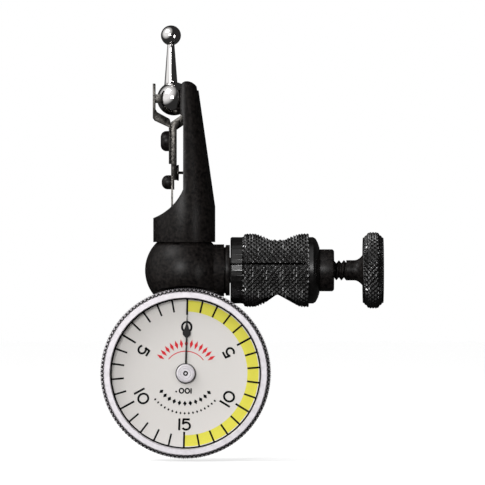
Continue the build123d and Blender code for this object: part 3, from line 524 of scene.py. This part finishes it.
def numeral(name, text, radius, angle, spin, scale=1.0, weight=0.33):
    """Figures drawn with even strokes, centred on a place on the dial.

    spin turns them clockwise, in degrees.
    """
    gap = 0.3
    total = sum(FIGURE_WIDTHS[figure] for figure in text) + gap * (len(text) - 1)
    middle, turn = on_dial(radius, angle, 0.03), math.radians(-spin) - DIAL_TURN
    vertices, faces, x = [], [], -total / 2
    for figure in text:
        x += FIGURE_WIDTHS[figure] / 2
        for line in FIGURE_LINES[figure]:
            first = len(vertices)
            for a, b in stroke(line, weight / scale):
                a = a + x
                across = (a * math.cos(turn) - b * math.sin(turn)) * scale
                up = (a * math.sin(turn) + b * math.cos(turn)) * scale
                vertices.append(middle + Vector((across, 0, up)) * MM)
            faces += [(c, c + 1, c + 3, c + 2) for c in range(first, first + 2 * len(line) - 2, 2)]
        x += FIGURE_WIDTHS[figure] / 2 + gap
    return mesh_object(name, vertices, faces, "dial_ink")


def print_on_dial(obj):
    """A printed piece turns with the bezel."""
    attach(obj, "bezel")


def make_dial():
    """The dial's yellow half, thirty divisions, figures and a plain red ornament."""
    face = copy_of("dial_plate", bevel=0, name="dial_face")
    place_on(face, "dial_plate")
    print_on_dial(band("dial_yellow_band", 9.72, 11.5, 0.8, 179.2, 0.01, "dial_yellow"))
    print_on_dial(band("dial_ring", 11.62, 11.86, 0, 360, 0.02, "dial_ink"))
    vertices, faces = [], []
    for division in range(30):
        angle = 12 * division
        inner, width = (9.2, 0.31) if division % 5 == 0 else (9.75, 0.29)
        corners = tick(angle, inner, 11.72, width, 0.02)
        faces.append(tuple(range(len(vertices), len(vertices) + 4)))
        vertices += corners
    print_on_dial(mesh_object("dial_divisions", vertices, faces, "dial_ink"))
    for text, angle, spin in (
        ("0", 0, 0), ("5", 63, -120), ("10", 119, -60), ("15", 180, 0), ("10", 240, 60), ("5", 297, 120),
    ):
        radius = {"0": 7.3, "5": 7.55, "10": 7.75, "15": 8.05}[text]
        print_on_dial(numeral(f"figure_{text}_at_{angle}", text, radius, angle, spin))
    print_on_dial(numeral("figure_grade", "001", 2.75, 180, 0, scale=0.45, weight=0.22))
    print_on_dial(band("figure_grade_point", 3.1, 3.36, 203.5, 208.5, 0.03, "dial_ink"))
    make_ornament()


def leaves(name, radius, half_angle, number, reach, half_width, material):
    """A row of diamonds along an arc; positive reach above the hub, negative below it."""
    vertices, faces = [], []
    middle = 0 if reach > 0 else 180
    for k in range(number):
        angle = middle - half_angle + 2 * half_angle * k / (number - 1)
        side = math.degrees(half_width / radius)
        faces.append(tuple(range(len(vertices), len(vertices) + 4)))
        for dr, da in ((-reach, 0), (0, side), (reach, 0), (0, -side)):
            vertices.append(on_dial(radius + dr, angle + da, 0.02))
    print_on_dial(mesh_object(name, vertices, faces, material))


def make_ornament():
    """A red row of leaves over a fine rule above the hub, and two rows of black dots below the figures."""
    leaves("ornament_leaves", 4.7, 58, 13, 0.72, 0.26, "dial_red")
    print_on_dial(band("ornament_rule", 3.42, 3.56, -52, 52, 0.02, "dial_red"))
    leaves("ornament_dots_inner", 4.75, 52, 11, -0.42, 0.3, "dial_ink")
    leaves("ornament_dots_outer", 6.3, 48, 17, -0.24, 0.18, "dial_ink")


def make_hub():
    """The pointer's silver hub, with fine turned rings."""
    low, high = (Vector(c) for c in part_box("pointer_hub"))
    centre = Vector((DIAL_CENTRE.x, 0, DIAL_CENTRE.z))
    back, front = -high.y / MM, -low.y / MM
    profile = [(back, 0.3), (back, 1.0), (front - 0.5, 1.0), (front - 0.5, 1.48), (front - 0.2, 1.48)]
    profile += [
        (front - 0.2 + 0.2 * math.sin(a), 1.3 + 0.18 * math.cos(a)) for a in np.linspace(0.2, math.pi / 2, 6)
    ]
    for ring in (1.14, 0.8):
        profile += [(front, ring + 0.05), (front - 0.1, ring + 0.02)]
        profile += [(front - 0.1, ring - 0.02), (front, ring - 0.05)]
    profile += [(front, 0.42), (front - 0.3, 0.36), (front - 0.3, 0.2), (front, 0.14), (front, 0.05)]
    hub = lathe("hub", profile, "Y", centre, 96, "nickel", None, 30)
    place_on(hub, "pointer_hub")
    # Painted shade: a thin black ring round the hub's foot, standing for the shade where the hub meets the dial.
    outline = lathe(
        "hub_painted_shade_ring", [(front - 0.5, 0.5), (front - 0.5, 1.6), (front - 0.4, 1.6), (front - 0.4, 0.5)],
        "Y", centre, 96, "pointer_black", closed=True,
    )
    place_on(outline, "pointer_hub", stands_for=False)
    # Painted shade: a black disc at the bottom of the hub's centre groove, so the groove shows dark.
    socket = lathe(
        "hub_centre_painted_shade", [(front - 0.25, 0.05), (front - 0.25, 0.4), (front - 0.2, 0.4), (front - 0.2, 0.05)],
        "Y", centre, 48, "pointer_black",
    )
    place_on(socket, "pointer_hub", stands_for=False)


# ---- Contact -----------------------------------------------------------------------------------------------
def ball(name, node):
    """A fine sphere in place of a ball node."""
    low, high = (Vector(c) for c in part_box(node))
    grid = bmesh.new()
    bmesh.ops.create_icosphere(grid, subdivisions=5, radius=(high.x - low.x) / 2)
    mesh = bpy.data.meshes.new(name)
    grid.to_mesh(mesh)
    grid.free()
    centre = (low + high) / 2
    centre.z = low.z + (high.x - low.x) / 2
    mesh.transform(Matrix.Translation(centre))
    obj = bpy.data.objects.new(name, mesh)
    bpy.context.scene.collection.objects.link(obj)
    mesh.materials.append(MATERIALS["chrome"])
    mesh.shade_smooth()
    place_on(obj, node)


# ---- Everything else ---------------------------------------------------------------------------------------
def make_rest():
    """Bevelled copies of the plain pieces."""
    done = {
        "clamp_sleeve", "thumb_screw", "bezel", "dial_plate", "pointer_hub", "swivel_ball", "contact_tip", "crystal",
    }
    fine = {"hairspring", "sector_gear", "pointer_arbor", "front_jewel", "rear_jewel", "pointer_hand"}
    for node in NODE_BODY:
        if node in done:
            continue
        bevel = 0 if node in fine else 0.05
        place_on(copy_of(node, bevel=bevel), node)
    place_on(copy_of("crystal", bevel=0), "crystal")


# ---- Studio ------------------------------------------------------------------------------------------------
def area_light(name, place, target, size, power):
    light = bpy.data.lights.new(name, "AREA")
    light.shape = "RECTANGLE"
    light.size, light.size_y = size
    light.energy = power
    obj = bpy.data.objects.new(name, light)
    bpy.context.scene.collection.objects.link(obj)
    obj.location = place
    obj.rotation_mode = "QUATERNION"
    obj.rotation_quaternion = (Vector(target) - Vector(place)).to_track_quat("-Z", "Y")


def make_surround():
    """White behind the object for the camera; a dark room with a soft window for light and reflections."""
    world = bpy.data.worlds.new("surround")
    bpy.context.scene.world = world
    world.use_nodes = True
    tree = world.node_tree
    background = tree.nodes["Background"]
    place = tree.nodes.new("ShaderNodeTexCoord")
    window = tree.nodes.new("ShaderNodeVectorMath")
    window.operation = "DOT_PRODUCT"
    window.inputs[1].default_value = Vector((-0.75, -0.45, 0.5)).normalized()
    tree.links.new(place.outputs["Generated"], window.inputs[0])
    ramp = tree.nodes.new("ShaderNodeValToRGB")
    stops = ramp.color_ramp.elements
    stops[0].position, stops[0].color = 0.4, (0.03, 0.03, 0.03, 1)
    stops[1].position, stops[1].color = 0.85, (1.0, 1.0, 1.0, 1)
    tree.links.new(window.outputs["Value"], ramp.inputs["Fac"])
    rays = tree.nodes.new("ShaderNodeLightPath")
    seen = tree.nodes.new("ShaderNodeMix")
    seen.data_type = "RGBA"
    colour_in = [socket for socket in seen.inputs if socket.type == "RGBA"]
    colour_in[1].default_value = (1, 1, 1, 1)
    tree.links.new(ramp.outputs["Color"], colour_in[0])
    tree.links.new(rays.outputs["Is Camera Ray"], seen.inputs["Factor"])
    colour_out = next(socket for socket in seen.outputs if socket.type == "RGBA")
    tree.links.new(colour_out, background.inputs["Color"])


def make_studio():
    """A pale floor, a white surround, three soft lights and a long lens square on to the dial."""
    floor_z = cad_box[0][2] - 0.4 * MM
    half = 1.2
    floor = bpy.data.meshes.new("floor")
    corners = [(x, y, floor_z) for x, y in ((-half, -half), (half, -half), (half, half), (-half, half))]
    floor.from_pydata(corners, [], [(0, 1, 2, 3)])
    floor_obj = bpy.data.objects.new("floor", floor)
    bpy.context.scene.collection.objects.link(floor_obj)
    floor.materials.append(
        new_material("floor", (0.8, 0.8, 0.8), 0.9, Emission_Color=(1, 1, 1, 1), Emission_Strength=0.72)
    )
    floor_obj.visible_glossy = False
    floor_obj.visible_diffuse = False
    make_surround()
    middle = (-0.005, 0, 0.004)
    area_light("key", (-0.12, -0.5, 0.1), middle, (0.14, 0.14), 1.7)
    area_light("fill", (0.2, -0.24, -0.03), middle, (0.04, 0.16), 0.3)
    area_light("rake", (-0.2, -0.13, 0.27), middle, (0.16, 0.16), 0.55)

    camera = bpy.data.cameras.new("camera")
    camera.sensor_width = 36
    distance = 1.0
    picture_width = 76.6 * MM
    camera.lens = 36 * distance / picture_width
    camera.clip_start, camera.clip_end = 0.05, 10
    camera_obj = bpy.data.objects.new("camera", camera)
    bpy.context.scene.collection.objects.link(camera_obj)
    camera_obj.location = (-5.5 * MM, -distance, 4.39 * MM)
    camera_obj.rotation_euler = (math.pi / 2, 0, 0)
    bpy.context.scene.camera = camera_obj
    bpy.context.scene.view_settings.view_transform = "Standard"


make_sleeve()
make_thumb_screw()
make_bezel()
make_dial()
make_hub()
ball("swivel_ball_fine", "swivel_ball")
ball("contact_tip_fine", "contact_tip")
make_rest()
make_studio()
